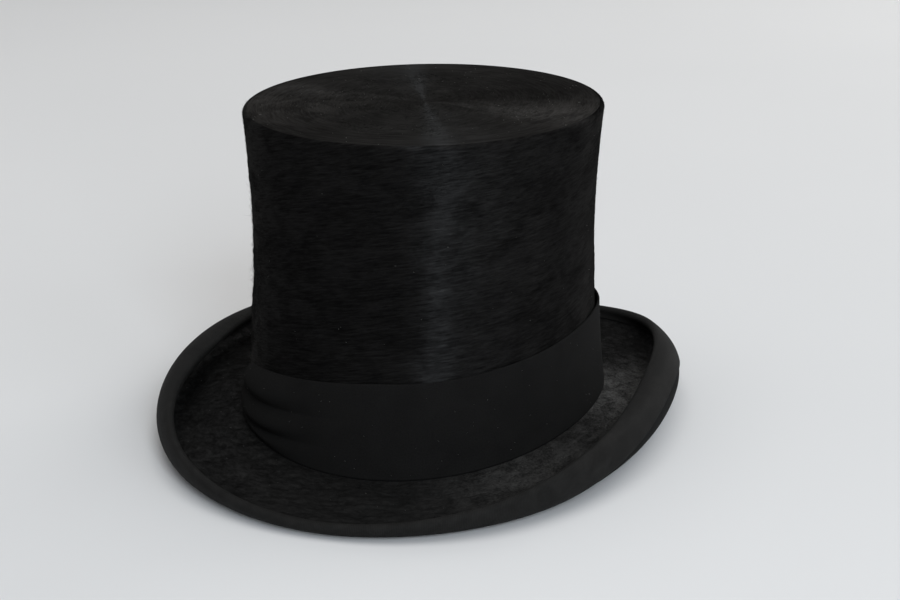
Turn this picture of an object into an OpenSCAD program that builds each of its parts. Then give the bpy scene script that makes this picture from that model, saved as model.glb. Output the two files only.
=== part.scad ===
// A rigid silk-plush top hat, standing on its brim.
// Millimetres. +Z is up, -Y is the front, +X is the wearer's left.
// The origin is on the standing plane, under the middle of the hat.

/* [Crown] */
// Height from the standing plane to the top of the crown
hat_h = 152; // [130:1:175]
// Length of the flat tip, front to back, over the plush
tip_l = 190; // [176:1:200]
// Width of the flat tip, over the plush
tip_w = 167; // [154:1:176]
// Length of the crown at its waist
waist_l = 188; // [178:1:196]
// Width of the crown at its waist
waist_w = 160; // [152:1:168]
// Height of the waist
waist_z = 80; // [65:1:95]
// Length of the crown at the brim, over the plush
base_l = 209; // [200:1:216]
// Width of the crown at the brim, over the plush
base_w = 172; // [164:1:180]

/* [Brim] */
// Length of the brim, front to back
brim_l = 315; // [300:1:325]
// Width of the brim, side to side
brim_w = 246; // [238:1:256]
// Squareness of the brim's outline: 2 is an ellipse
brim_square = 2.1; // [2:0.05:2.3]
// Height of the crown's foot at the front and back
foot_end_z = 4.8; // [4.8:0.1:7]
// Height of the crown's foot at the sides
foot_side_z = 13; // [11:0.5:16]
// Radius of the curl along the brim's edge
curl_r = 7.8; // [7.5:0.1:9]
// Angle that the curl turns through at the front and back
curl_end = 42; // [30:1:75]
// Angle that the curl turns through at the sides
curl_side = 180; // [120:1:185]
// Height of the curl's lowest line at the sides, at mid-thickness
curl_low = 9.4; // [8:0.1:12]
// How closely the curl is gathered at the sides
curl_gather = 1.5; // [1:0.1:4]
// How closely the brim's rise is gathered at the sides
rise_gather = 3.2; // [2:0.1:4]

/* [Coverings] */
// Thickness of the stiffened crown and brim
shell_t = 2; // [1.6:0.1:2]
// Thickness of the silk plush
plush_t = 0.8; // [0.6:0.05:0.8]
// Thickness of the cloth under the brim
under_t = 0.6; // [0.4:0.05:0.6]
// Thickness of the ribbon round the brim's edge
ribbon_t = 0.4; // [0.3:0.05:0.5]
// Width of that ribbon on top of the brim
ribbon_top = 5; // [4:0.5:8]
// Width of that ribbon under the brim
ribbon_under = 12; // [8:0.5:13]
// Height of the cloth band
band_h = 42; // [30:1:60]
// Thickness of the cloth band
band_t = 1; // [0.8:0.1:1.5]
// Angle of the band's lapped end, from the wearer's left towards the back
band_join_at = 56; // [20:1:80]

/* [Inside] */
// Height of the leather sweatband
sweat_h = 46; // [35:1:55]
// Thickness of the leather
sweat_t = 1; // [0.8:0.1:1.2]
// Diameter of the reed in the sweatband's edge
reed_d = 2.2; // [1.6:0.1:2.4]
// Stitches in each facet of the sweatband
facet_stitches = 2; // [1:1:3]
// Width of the small bow on the sweatband
bow_w = 30; // [20:1:36]

/* [Hidden] */

// Facets round the hat, and clear space left between one layer and the next
facets = 48;
gap = 0.05;
easy_gap = 0.2;
turn = [for (i = [0:facets - 1]) 360 * i / facets];
crown_steps = 6;
flat_steps = 3;
arc_steps = 8;

// Depths of the layers, measured inwards from the crown's outer plush
shell_in = plush_t + gap;
shell_back = shell_in + shell_t;
tape_in = shell_back + 0.15;
tape_t = 0.4;
lining_in = tape_in + tape_t + easy_gap;
lining_t = 0.4;
sweat_in = lining_in + lining_t + easy_gap;
band_out = 0.35;

// Heights of the layers above or below the brim's middle surface
mid_t = shell_t / 2;
plush_low = mid_t + gap;
plush_top = plush_low + plush_t;
under_top = mid_t + gap;
under_low = under_top + under_t;
ribbon_in = plush_top + 0.15;
ribbon_out = ribbon_in + ribbon_t;

function mix(a, b, k) = a + (b - a) * k;
function oval(t, a, b, n) = pow(pow(abs(sin(t)) / a, n) + pow(abs(cos(t)) / b, n), -1 / n);

// A smooth curve in height through the crown's foot, waist and tip
foot_z = 6;
function crown_line(z, foot, waist, tip) =
    foot * (z - waist_z) * (z - hat_h) / ((foot_z - waist_z) * (foot_z - hat_h))
    + waist * (z - foot_z) * (z - hat_h) / ((waist_z - foot_z) * (waist_z - hat_h))
    + tip * (z - foot_z) * (z - waist_z) / ((hat_h - foot_z) * (hat_h - waist_z));
function crown_r(t, z) =
    oval(t, crown_line(z, base_l, waist_l, tip_l) / 2, crown_line(z, base_w, waist_w, tip_w) / 2, 2);
function foot(t) = mix(foot_end_z, foot_side_z, pow(cos(t), 2));

// The brim's middle surface at angle t: nearly level, then an arc that curls up at the edge
function curl(t) = mix(curl_end, curl_side, pow(abs(cos(t)), curl_gather));
function low(t) = mix(ribbon_out, curl_low, pow(abs(cos(t)), rise_gather));
function start_z(t) = foot(t) - plush_top;
function start_r(t) = crown_r(t, foot(t));
function curl_at(t) = oval(t, brim_l / 2, brim_w / 2, brim_square) - ribbon_out
    - curl_r * sin(min(curl(t), 90));
function ease(u) = u * u * (3 - 2 * u);
function flat_run(t) = curl_at(t) - start_r(t);
function arc_run(t) = curl_r * curl(t) * PI / 180;

// [radius, height, slope] of the middle surface on the level part, u from 0 to 1
function flat_point(t, u) = let (fall = start_z(t) - low(t))
    [mix(start_r(t), curl_at(t), u), start_z(t) - fall * ease(u),
        atan(-fall * 6 * u * (1 - u) / flat_run(t))];
function arc_point(t, a) = [curl_at(t) + curl_r * sin(a), low(t) + curl_r * (1 - cos(a)), a];
// The same, at a distance back from the edge
function edge_point(t, d) = d <= arc_run(t)
    ? arc_point(t, curl(t) * (1 - d / arc_run(t)))
    : flat_point(t, 1 - (d - arc_run(t)) / flat_run(t));
// A point raised h off the middle surface
function raised(p, h) = [p[0] - h * sin(p[2]), p[1] + h * cos(p[2])];

// The middle surface from the crown's foot, drawn inwards by back, to the edge
function brim_line(t, back) = concat(
    [[start_r(t) - back, start_z(t), 0]],
    [for (i = [0:flat_steps - 1]) flat_point(t, i / flat_steps)],
    [for (i = [0:arc_steps]) arc_point(t, curl(t) * i / arc_steps)]);
function reverse(list) = [for (i = [len(list) - 1:-1:0]) list[i]];
function brim_layer(t, back, bottom, top) = let (line = brim_line(t, back)) concat(
    [for (p = line) raised(p, bottom)],
    reverse([for (p = line) raised(p, top)]));

// The ribbon's outline at one height off the middle surface: under the edge, round it and back
ribbon_steps = 5;
cap_steps = 4;
function ribbon_line(t, h) = let (edge = arc_point(t, curl(t))) concat(
    [for (i = [0:ribbon_steps]) raised(edge_point(t, ribbon_under * (1 - i / ribbon_steps)), -h)],
    [for (i = [1:cap_steps - 1]) let (a = edge[2] - 90 + 180 * i / cap_steps)
        [edge[0] + h * cos(a), edge[1] + h * sin(a)]],
    [for (i = [0:ribbon_steps]) raised(edge_point(t, ribbon_top * i / ribbon_steps), h)]);

// A wall between two depths inside the crown's plush, from height z0 to height z1
function crown_wall(t, inner, outer, z0, z1, steps) = concat(
    [for (i = [0:steps]) let (z = mix(z0, z1, i / steps)) [crown_r(t, z) - outer, z]],
    [for (i = [steps:-1:0]) let (z = mix(z0, z1, i / steps)) [crown_r(t, z) - inner, z]]);

function place(t, p) = [p[0] * cos(t), p[0] * sin(t), p[1]];
// Triangles of the strip between ring a and ring b, whose sections have n points
function strip(a, b, n) = [for (j = [0:n - 1]) let (k = (j + 1) % n)
    each [[a * n + j, b * n + k, b * n + j], [a * n + j, a * n + k, b * n + k]]];

// A closed ring, from one section per angle in turn
module ring(sections) {
    n = len(sections[0]);
    count = len(sections);
    polyhedron(
        points = [for (i = [0:count - 1]) each [for (p = sections[i]) place(turn[i], p)]],
        faces = [for (i = [0:count - 1]) each strip(i, (i + 1) % count, n)],
        convexity = 6);
}

// Part of a ring, closed at both ends by quads from one side of the wall to the other
module arc_piece(angles, sections) {
    n = len(sections[0]);
    last = len(sections) - 1;
    end_cap = [for (j = [0:n / 2 - 2]) [j, j + 1, n - 2 - j, n - 1 - j]];
    polyhedron(
        points = [for (i = [0:last]) each [for (p = sections[i]) place(angles[i], p)]],
        faces = concat(
            [for (face = end_cap) reverse(face)],
            [for (i = [0:last - 1]) each strip(i, i + 1, n)],
            [for (face = end_cap) [for (j = face) last * n + j]]),
        convexity = 6);
}

// A flat oval plate, with its top at height z
module plate(z, thick, depth) {
    translate([0, 0, z - thick])
        linear_extrude(thick)
            polygon([for (t = turn) let (r = crown_r(t, z) - depth) [r * cos(t), r * sin(t)]]);
}

tip_shell_z = hat_h - plush_t - gap;
side_top_z = tip_shell_z - shell_t - gap;
lining_tip_z = side_top_z - 0.3;

module crown_side_shell() {
    color([0.62, 0.55, 0.42])
        ring([for (t = turn) crown_wall(t, shell_back, shell_in,
            start_z(t) + mid_t + gap, side_top_z, crown_steps)]);
}

module crown_tip_shell() {
    color([0.62, 0.55, 0.42]) plate(tip_shell_z, shell_t, shell_in);
}

// Calico strip over the joint between the crown's side and tip
module tip_joint_tape() {
    color([0.78, 0.74, 0.64])
        ring([for (t = turn) crown_wall(t, tape_in + tape_t, tape_in,
            side_top_z - 12, side_top_z - gap, 1)]);
}

// Calico strip that holds the crown to the brim
module robin_strip() {
    color([0.78, 0.74, 0.64])
        ring([for (t = turn) crown_wall(t, tape_in + tape_t, tape_in,
            start_z(t) - mid_t, foot(t) + 16, 1)]);
}

module brim_shell() {
    color([0.62, 0.55, 0.42])
        ring([for (t = turn) brim_layer(t, shell_back, -mid_t, mid_t)]);
}

module plush_side_cover() {
    color([0.07, 0.07, 0.08])
        ring([for (t = turn) crown_wall(t, plush_t, 0,
            foot(t) + gap, tip_shell_z, crown_steps)]);
}

module plush_tip_cover() {
    color([0.08, 0.075, 0.075]) plate(hat_h, plush_t, 0);
}

module plush_brim_cover() {
    color([0.07, 0.07, 0.075])
        ring([for (t = turn) brim_layer(t, plush_t, plush_low, plush_top)]);
}

module underbrim_cover() {
    color([0.09, 0.09, 0.09])
        ring([for (t = turn) brim_layer(t, shell_back, -under_low, -under_top)]);
}

// Ribbon folded over the brim's edge
module brim_binding() {
    color([0.16, 0.16, 0.17])
        ring([for (t = turn) concat(
            ribbon_line(t, ribbon_out), reverse(ribbon_line(t, ribbon_in)))]);
}

// Folded end of the ribbon, lapped over its start on top of the brim at the back
module binding_join() {
    lap = [88, 90, 92];
    lift = ribbon_out + gap;
    color([0.14, 0.14, 0.15])
        arc_piece(lap, [for (t = lap) concat(
            [for (i = [0:ribbon_steps])
                raised(edge_point(t, mix(ribbon_top, 0.5, i / ribbon_steps)), lift)],
            [for (i = [ribbon_steps:-1:0])
                raised(edge_point(t, mix(ribbon_top, 0.5, i / ribbon_steps)), lift + ribbon_t)])]);
}

module hat_band() {
    color([0.1, 0.1, 0.1])
        ring([for (t = turn) crown_wall(t, -band_out, -band_out - band_t,
            foot(t) + easy_gap, foot(t) + band_h, 2)]);
}

// Turned-in end of the band, lapped over its start
module band_join() {
    lap = [for (i = [0:3]) band_join_at + i * 2.5];
    inner = band_out + band_t + easy_gap;
    color([0.09, 0.09, 0.09])
        arc_piece(lap, [for (t = lap) crown_wall(t, -inner, -inner - band_t,
            foot(t) + easy_gap, foot(t) + band_h - 0.5, 2)]);
}

module sweatband() {
    color([0.42, 0.24, 0.12])
        ring([for (t = turn) crown_wall(t, sweat_in + sweat_t, sweat_in,
            foot(t) + 0.5, foot(t) + sweat_h, 2)]);
}

// Stiff cord along the lower edge of the sweatband
module sweatband_reed() {
    depth = sweat_in + sweat_t / 2;
    sides = 6;
    color([0.35, 0.2, 0.1])
        ring([for (t = turn) let (z = foot(t) - reed_d / 2 + 0.4)
            [for (i = [0:sides - 1]) let (a = 360 * i / sides + 30)
                [crown_r(t, z) - depth + reed_d / 2 * cos(a), z + reed_d / 2 * sin(a)]]]);
}

// Short stitches round the sweatband, just above the reed
module sweatband_stitches() {
    stitch_l = 3;
    stitch_d = 0.5;
    rise = 4;
    depth = sweat_in + sweat_t + stitch_d / 2 + 0.1;
    color([0.75, 0.7, 0.6])
        for (i = [0:facets - 1], k = [0:facet_stitches - 1]) {
            t0 = turn[i];
            t1 = turn[(i + 1) % facets];
            p0 = place(t0, [crown_r(t0, foot(t0) + rise) - depth, foot(t0) + rise]);
            p1 = place(t1, [crown_r(t1, foot(t1) + rise) - depth, foot(t1) + rise]);
            way = (p1 - p0) / norm(p1 - p0);
            translate(mix(p0, p1, (k + 0.5) / facet_stitches))
                rotate([0, acos(way[2]), atan2(way[1], way[0])])
                    cylinder(d = stitch_d, h = stitch_l, center = true, $fn = 16);
        }
}

// Small flat ribbon bow on the sweatband, inside the back of the hat
module sweatband_bow() {
    half = bow_w / 2;
    bow_z = foot(90) + 10;
    leather_y = crown_r(90, bow_z) - sweat_in - sweat_t;
    side_y = crown_r(atan2(leather_y, half), bow_z) * sin(atan2(leather_y, half))
        - sweat_in - sweat_t;
    knot_w = 5;
    loop_t = 1.2;
    color([0.12, 0.12, 0.13])
        translate([0, side_y - 0.6, bow_z])
            rotate([90, 0, 0]) {
                linear_extrude(loop_t)
                    for (side = [-1, 1])
                        polygon([[0, 1.6], [0, -1.6], [side * half * 0.8, -4.5],
                            [side * half, -2], [side * half, 2], [side * half * 0.8, 4.5]]);
                linear_extrude(loop_t)
                    for (side = [-1, 1])
                        polygon([[0, 0], [side * 9, -9.5], [side * 4.5, -10.5], [0, -3]]);
                translate([-knot_w / 2, -knot_w / 2, side_y - leather_y - 0.4])
                    cube([knot_w, knot_w, leather_y - side_y + loop_t + 1]);
            }
}

module lining_side() {
    color([0.86, 0.83, 0.76])
        ring([for (t = turn) crown_wall(t, lining_in + lining_t, lining_in,
            foot(t) + sweat_h - 18, lining_tip_z - lining_t - gap, crown_steps)]);
}

module lining_tip() {
    color([0.88, 0.85, 0.78]) plate(lining_tip_z, lining_t, lining_in);
}

crown_side_shell();
crown_tip_shell();
tip_joint_tape();
robin_strip();
brim_shell();
plush_side_cover();
plush_tip_cover();
plush_brim_cover();
underbrim_cover();
brim_binding();
binding_join();
hat_band();
band_join();
sweatband();
sweatband_reed();
sweatband_stitches();
sweatband_bow();
lining_side();
lining_tip();
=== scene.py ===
import math

import bpy
import numpy as np
from mathutils import Matrix, Vector


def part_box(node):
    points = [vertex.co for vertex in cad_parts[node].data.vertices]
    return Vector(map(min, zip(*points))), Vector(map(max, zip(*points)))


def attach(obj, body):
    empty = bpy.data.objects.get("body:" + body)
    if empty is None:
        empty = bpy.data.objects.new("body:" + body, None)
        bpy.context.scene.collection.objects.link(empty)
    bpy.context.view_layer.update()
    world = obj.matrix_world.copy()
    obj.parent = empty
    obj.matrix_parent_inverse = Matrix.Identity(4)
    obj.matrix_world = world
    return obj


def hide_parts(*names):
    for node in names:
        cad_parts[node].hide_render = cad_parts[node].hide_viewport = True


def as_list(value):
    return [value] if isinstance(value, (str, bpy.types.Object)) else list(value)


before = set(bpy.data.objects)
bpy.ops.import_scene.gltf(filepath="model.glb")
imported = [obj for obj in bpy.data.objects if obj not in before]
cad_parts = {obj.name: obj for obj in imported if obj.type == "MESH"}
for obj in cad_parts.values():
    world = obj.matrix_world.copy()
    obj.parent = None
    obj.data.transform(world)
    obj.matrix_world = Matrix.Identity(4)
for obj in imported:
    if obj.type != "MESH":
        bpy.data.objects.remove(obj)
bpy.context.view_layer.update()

# A silk-plush top hat. Lengths are in millimetres until a mesh is made, and angles in degrees.
# Angles run from the wearer's left (+X) towards the back (+Y), so the front is -90.
MM = 0.001
BACK = 90.0

# -------- sizes

tip_low, tip_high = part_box("plush_tip_cover")
brim_low, brim_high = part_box("brim_binding")
HAT_H = tip_high.z / MM
TIP_L = (tip_high.y - tip_low.y) / MM
TIP_W = (tip_high.x - tip_low.x) / MM
BRIM_L = (brim_high.y - brim_low.y) / MM
BRIM_W = (brim_high.x - brim_low.x) / MM

# Crown: length, width and height at its waist and at its base.
WAIST_L, WAIST_W, WAIST_Z = 188.0, 160.0, 80.0
BASE_L, BASE_W, FOOT_Z = 209.0, 172.0, 6.0

# Brim: squareness of its outline, and the crown's foot above the ground at the ends and at the sides.
BRIM_SQUARE = 2.1
FOOT_END, FOOT_SIDE = 4.8, 13.0

# Curl: radius, sweep in degrees at the ends and at the sides, and the height it starts at on the sides.
# The larger a gather is, the closer its change keeps to the sides.
CURL_R, CURL_END, CURL_SIDE, CURL_LOW = 7.8, 42.0, 207.0, 9.4
CURL_GATHER, RISE_GATHER = 1.5, 3.2

# Layers of the brim: thicknesses, heights off its middle surface, and how far in the ribbon reaches.
PLUSH_T, SHELL_T, UNDER_T, RIBBON_T = 0.8, 2.0, 0.6, 0.4
GLUE = 0.05
PLUSH_TOP = SHELL_T / 2 + GLUE + PLUSH_T
UNDER_LOW = SHELL_T / 2 + GLUE + UNDER_T
RIBBON_IN = PLUSH_TOP + 0.15
RIBBON_OUT = RIBBON_IN + RIBBON_T
RIBBON_TOP, RIBBON_UNDER = 5.0, 12.0

# Layers of the crown: heights, thicknesses, and distances out or in from its line.
BAND_H, BAND_T, BAND_OUT = 42.0, 1.0, 0.35
SHELL_BACK = PLUSH_T + GLUE + SHELL_T
LINING_IN, LINING_T = SHELL_BACK + 0.75, 0.4
SWEAT_IN, SWEAT_T, SWEAT_H = LINING_IN + 0.6, 1.0, 46.0
REED_R = 1.1


# -------- small maths

def sin(a):
    return np.sin(np.radians(a))


def cos(a):
    return np.cos(np.radians(a))


def mix(a, b, k):
    return a + (b - a) * k


def ease(u):
    u = np.clip(u, 0.0, 1.0)
    return u * u * (3 - 2 * u)


def near(t, centre, reach):
    """1 at the angle centre, falling smoothly to 0 at reach degrees to either side."""
    away = np.abs((t - centre + 180.0) % 360.0 - 180.0)
    return ease(1.0 - away / reach)


def ripple(points, size, seed, parts=24):
    """Smooth random relief, about -1 to 1, with lumps of about size. points is (..., 3)."""
    rng = np.random.default_rng(seed)
    way = rng.normal(size=(parts, 3))
    way /= np.linalg.norm(way, axis=1, keepdims=True)
    pitch = size * rng.uniform(0.7, 1.6, parts)
    start = rng.uniform(0, 2 * math.pi, parts)
    total = np.zeros(points.shape[:-1])
    for w, p, s in zip(way, pitch, start):
        total += np.cos(points @ w * (2 * math.pi / p) + s)
    return total / math.sqrt(parts)


def field(rows, columns, row_mm, column_mm, long, short, lean, seed):
    """Random relief, about -1 to 1, on a grid that wraps: streaks of long by short mm at a lean."""
    rng = np.random.default_rng(seed)
    v = np.fft.fftfreq(rows, row_mm)[:, None]
    u = np.fft.fftfreq(columns, column_mm)[None, :]
    a = math.radians(lean)
    along = u * math.cos(a) + v * math.sin(a)
    across = v * math.cos(a) - u * math.sin(a)
    keep = np.exp(-2 * (math.pi * 0.35) ** 2 * ((along * long) ** 2 + (across * short) ** 2))
    wave = np.fft.ifft2(np.fft.fft2(rng.normal(size=(rows, columns))) * keep).real
    return np.clip(wave / wave.std() / 2.2, -1.4, 1.4)


def oval(t, a, b, n=2.0):
    return (np.abs(sin(t) / a) ** n + np.abs(cos(t) / b) ** n) ** (-1 / n)


# -------- the hat's lines

def crown_line(z, foot_v, waist_v, tip_v):
    """The parabola through three values, at the base, the waist and the tip."""
    return (foot_v * (z - WAIST_Z) * (z - HAT_H) / ((FOOT_Z - WAIST_Z) * (FOOT_Z - HAT_H))
            + waist_v * (z - FOOT_Z) * (z - HAT_H) / ((WAIST_Z - FOOT_Z) * (WAIST_Z - HAT_H))
            + tip_v * (z - FOOT_Z) * (z - WAIST_Z) / ((HAT_H - FOOT_Z) * (HAT_H - WAIST_Z)))


def crown_r(t, z):
    return oval(t, crown_line(z, BASE_L, WAIST_L, TIP_L) / 2, crown_line(z, BASE_W, WAIST_W, TIP_W) / 2)


def foot(t):
    return mix(FOOT_END, FOOT_SIDE, cos(t) ** 2)


def curl(t):
    return mix(CURL_END, CURL_SIDE, np.abs(cos(t)) ** CURL_GATHER)


def low(t):
    return mix(RIBBON_OUT, CURL_LOW, np.abs(cos(t)) ** RISE_GATHER)


def curl_at(t):
    return (oval(t, BRIM_L / 2, BRIM_W / 2, BRIM_SQUARE) - RIBBON_OUT
            - CURL_R * sin(np.minimum(curl(t), 90.0)))


def brim_run(t):
    """Length of the brim's middle surface: its level part and its curl."""
    return curl_at(t) - crown_r(t, foot(t)), CURL_R * np.radians(curl(t))


def brim_mid(t, d):
    """Radius, height and slope of the brim's middle surface, d back from its edge."""
    level, arc = brim_run(t)
    a = curl(t) * (1 - d / arc)
    u = 1 - (d - arc) / level
    fall = foot(t) - PLUSH_TOP - low(t)
    inside = u < 0
    u = np.clip(u, 0, 1)
    start = crown_r(t, foot(t))
    r_level = np.where(inside, start - (d - arc - level), mix(start, curl_at(t), u))
    z_level = foot(t) - PLUSH_TOP - fall * ease(u)
    slope = np.degrees(np.arctan(-fall * 6 * u * (1 - u) / level))
    on_arc = d <= arc
    return (np.where(on_arc, curl_at(t) + CURL_R * sin(a), r_level),
            np.where(on_arc, low(t) + CURL_R * (1 - cos(a)), z_level),
            np.where(on_arc, a, slope))


def raised(mid, h):
    r, z, slope = mid
    return r - h * sin(slope), z + h * cos(slope)


def place(t, r, z):
    """Points in millimetres from angle, radius and height."""
    t, r, z = np.broadcast_arrays(t, r, z)
    return np.stack([r * cos(t), r * sin(t), z], axis=-1)


def girth(z):
    """Distance round the crown at height z."""
    points = place(turn(720), crown_r(turn(720), z), z)
    return np.linalg.norm(points - np.roll(points, 1, axis=0), axis=1).sum()


def brim_blank():
    """Width and length of the brim's cloth when flat, and the share of that rectangle it fills."""
    t = turn(720)
    hole = crown_r(t, foot(t))
    edge = hole + sum(brim_run(t))
    width, length = 2 * np.abs(edge * cos(t)).max(), 2 * np.abs(edge * sin(t)).max()
    return width, length, math.pi * np.mean(edge ** 2 - hole ** 2) / (width * length)


# -------- meshes

def solid_volume(points, faces):
    """Six times the volume inside the faces, negative if they face inwards."""
    total = 0.0
    for f in faces:
        a = points[f[:, 0]]
        for i in range(1, f.shape[1] - 1):
            total += np.einsum("ij,ij->", a, np.cross(points[f[:, i]], points[f[:, i + 1]]))
    return total


def make_object(name, points, faces, coords=None):
    """A mesh object from points in millimetres. coords, in metres, are for the materials."""
    mesh = bpy.data.meshes.new(name)
    points = np.asarray(points, dtype=np.float64).reshape(-1, 3) * MM
    faces = [np.asarray(f, dtype=np.int64) for f in faces]
    if solid_volume(points, faces) < 0:
        faces = [f[:, ::-1] for f in faces]
    loops = np.concatenate([f.reshape(-1) for f in faces])
    sizes = np.concatenate([np.full(len(f), f.shape[1]) for f in faces])
    mesh.vertices.add(len(points))
    mesh.vertices.foreach_set("co", points.reshape(-1))
    mesh.loops.add(len(loops))
    mesh.loops.foreach_set("vertex_index", loops)
    mesh.polygons.add(len(sizes))
    mesh.polygons.foreach_set("loop_start", np.concatenate([[0], np.cumsum(sizes)[:-1]]))
    mesh.polygons.foreach_set("use_smooth", np.full(len(sizes), True))
    mesh.update(calc_edges=True)
    mesh.validate()
    if coords is not None:
        layer = mesh.attributes.new("lay", "FLOAT_VECTOR", "POINT")
        layer.data.foreach_set("vector", np.asarray(coords, dtype=np.float64).reshape(-1))
    obj = bpy.data.objects.new(name, mesh)
    bpy.context.scene.collection.objects.link(obj)
    return obj


def grid_faces(rows, columns, close_rows, close_columns, first=0):
    """Quads of a grid of points, (rows, columns), that may wrap either way."""
    i = np.arange(rows if close_rows else rows - 1)
    j = np.arange(columns if close_columns else columns - 1)
    i, j = np.meshgrid(i, j, indexing="ij")
    i1, j1 = (i + 1) % rows, (j + 1) % columns
    quad = np.stack([i * columns + j, i1 * columns + j, i1 * columns + j1, i * columns + j1], axis=-1)
    return quad.reshape(-1, 4) + first


def bar_faces(rows, columns, first=0):
    """Faces of a bar: rows of closed outlines, and a cap on each end."""
    end = np.arange(columns) + first
    side = grid_faces(rows, columns, False, True, first)
    return [side, end[None, :], end[None, ::-1] + (rows - 1) * columns]


def ring_object(name, section, coords, closed=True):
    """A ring, or a part of one: section is (angles, outline points, 3), coords the same shape."""
    rows, columns = section.shape[:2]
    faces = [grid_faces(rows, columns, True, True)] if closed else bar_faces(rows, columns)
    return make_object(name, section, faces, coords)


def mark(obj, name, values):
    """A number per point, from 0 to 1, for the materials."""
    layer = obj.data.attributes.new(name, "FLOAT", "POINT")
    layer.data.foreach_set("value", np.asarray(values, dtype=np.float64).reshape(-1))


def turn(count):
    """Angles all round the hat, from the back."""
    return BACK + np.arange(count) * 360.0 / count


# -------- materials

PRINCIPLED = {
    "roughness": "Roughness", "specular": "Specular IOR Level", "anisotropic": "Anisotropic",
    "sheen": "Sheen Weight", "sheen_roughness": "Sheen Roughness", "sheen_tint": "Sheen Tint",
    "coat": "Coat Weight", "coat_roughness": "Coat Roughness",
}


class Look:
    """A new material, with a short call for each kind of node. Most calls give the node's output."""

    def __init__(self, name):
        self.material = bpy.data.materials.new(name)
        self.material.use_nodes = True
        self.nodes = self.material.node_tree.nodes
        self.link = self.material.node_tree.links.new

    def principled(self, **inputs):
        bsdf = self.nodes["Principled BSDF"]
        for key, value in inputs.items():
            bsdf.inputs[PRINCIPLED[key]].default_value = value
        return bsdf

    def add(self, kind, **settings):
        """A node, with each setting on its input or property of that name."""
        node = self.nodes.new(kind)
        for key, value in settings.items():
            if key in node.inputs:
                node.inputs[key].default_value = value
            else:
                setattr(node, key, value)
        return node

    def feed(self, socket, value):
        """Give a socket a number, a colour or another node's output."""
        if isinstance(value, (int, float)):
            socket.default_value = value
        elif hasattr(value, "__len__"):
            socket.default_value = (*value, 1)
        else:
            self.link(value, socket)

    def lay(self, scale=(1, 1, 1)):
        """The piece's own coordinates, in metres, times scale."""
        source = self.add("ShaderNodeAttribute", attribute_name="lay")
        stretch = self.add("ShaderNodeMapping")
        stretch.inputs["Scale"].default_value = scale
        self.link(source.outputs["Vector"], stretch.inputs["Vector"])
        return stretch.outputs["Vector"]

    def lay_parts(self):
        """The X, Y and Z of the piece's own coordinates."""
        parts = self.add("ShaderNodeSeparateXYZ")
        self.link(self.lay(), parts.inputs["Vector"])
        return parts.outputs

    def object_vector(self):
        return self.add("ShaderNodeTexCoord").outputs["Object"]

    def noise(self, vector, scale=1.0, detail=4.0, rough=0.55, warp=0.0):
        tex = self.add("ShaderNodeTexNoise", Scale=scale, Detail=detail, Roughness=rough, Distortion=warp)
        self.link(vector, tex.inputs["Vector"])
        return tex.outputs["Fac"]

    def ramp(self, value, *stops):
        """Each stop is (position, colour or grey)."""
        node = self.nodes.new("ShaderNodeValToRGB")
        elements = node.color_ramp.elements
        while len(elements) < len(stops):
            elements.new(0.5)
        for element, (at, colour) in zip(elements, stops):
            element.position = at
            element.color = (*colour, 1) if hasattr(colour, "__len__") else (colour, colour, colour, 1)
        self.link(value, node.inputs["Fac"])
        return node.outputs["Color"]

    def maths(self, operation, *values):
        node = self.add("ShaderNodeMath", operation=operation)
        for socket, value in zip(node.inputs, values):
            self.feed(socket, value)
        return node.outputs["Value"]

    def times(self, a, b):
        return self.maths("MULTIPLY", a, b)

    def stripes(self, length, pitch):
        """A wave, from -1 to 1, along a length in metres."""
        return self.maths("SINE", self.times(length, 2 * math.pi / pitch))

    def blend(self, kind, factor, a, b):
        node = self.add("ShaderNodeMix", data_type="RGBA", blend_type=kind)
        colour_sockets = (0, 6, 7)
        for index, value in zip(colour_sockets, (factor, a, b)):
            self.feed(node.inputs[index], value)
        return node.outputs[2]

    def bump(self, height, distance, strength=1.0, under=None):
        """A normal from a height. under is a normal that it adds to."""
        node = self.add("ShaderNodeBump", Strength=strength, Distance=distance)
        self.link(height, node.inputs["Height"])
        if under is not None:
            self.link(under, node.inputs["Normal"])
        return node.outputs["Normal"]


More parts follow.
